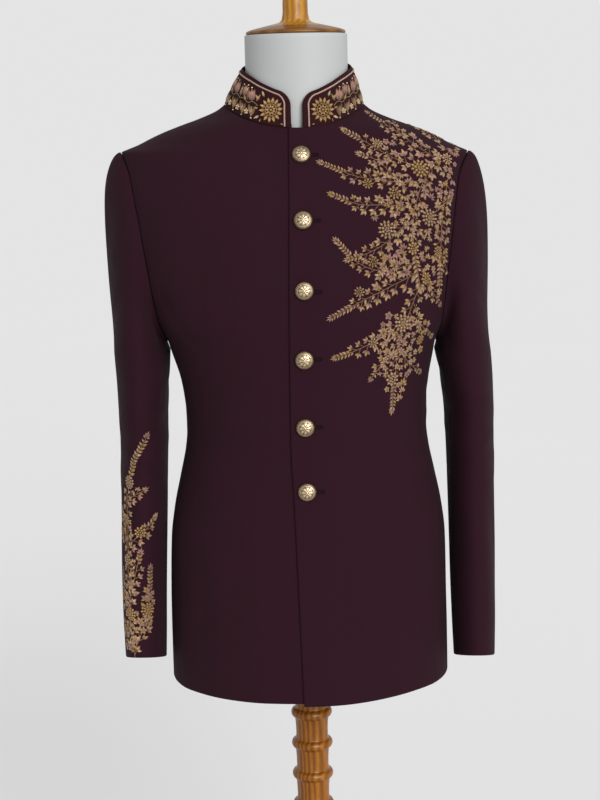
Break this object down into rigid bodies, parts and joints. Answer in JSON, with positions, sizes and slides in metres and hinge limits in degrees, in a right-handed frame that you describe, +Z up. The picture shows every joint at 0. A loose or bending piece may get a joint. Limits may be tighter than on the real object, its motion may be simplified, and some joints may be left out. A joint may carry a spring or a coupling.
{
  "type": "bandhgala on a dress form",
  "caption": "Long-sleeved, band-collared jacket buttoned down the front, embroidered, shown on a limbless dress form with a turned wooden stand.",
  "frame": {"origin": "centre of the stand's round base, on the floor", "axes": "+Z up, the front of the garment faces -Y, the wearer's left is +X"},
  "size_m": [0.4976, 0.39, 1.4495],
  "materials": {
    "wool": "fine smooth worsted suiting, deep plum, low sheen",
    "collar_wool": "the same suiting, stiffened",
    "brass": "antique gold, embossed dome",
    "form_shell": "smooth white, satin",
    "turned_wood": "turned, honey coloured, clear satin varnish"
  },
  "bodies": {
    "root": {"front_left": "wool", "front_right": "wool", "side_left": "wool", "side_right": "wool", "back_left": "wool", "back_right": "wool", "top_sleeve_left": "wool", "top_sleeve_right": "wool", "under_sleeve_left": "wool", "under_sleeve_right": "wool", "collar": "collar_wool", "button_1": "brass", "button_2": "brass", "button_3": "brass", "button_4": "brass", "button_5": "brass", "button_6": "brass", "dress_form": "form_shell", "neck_cap": "turned_wood", "pole": "turned_wood", "base": "turned_wood"}
  },
  "joints": []
}
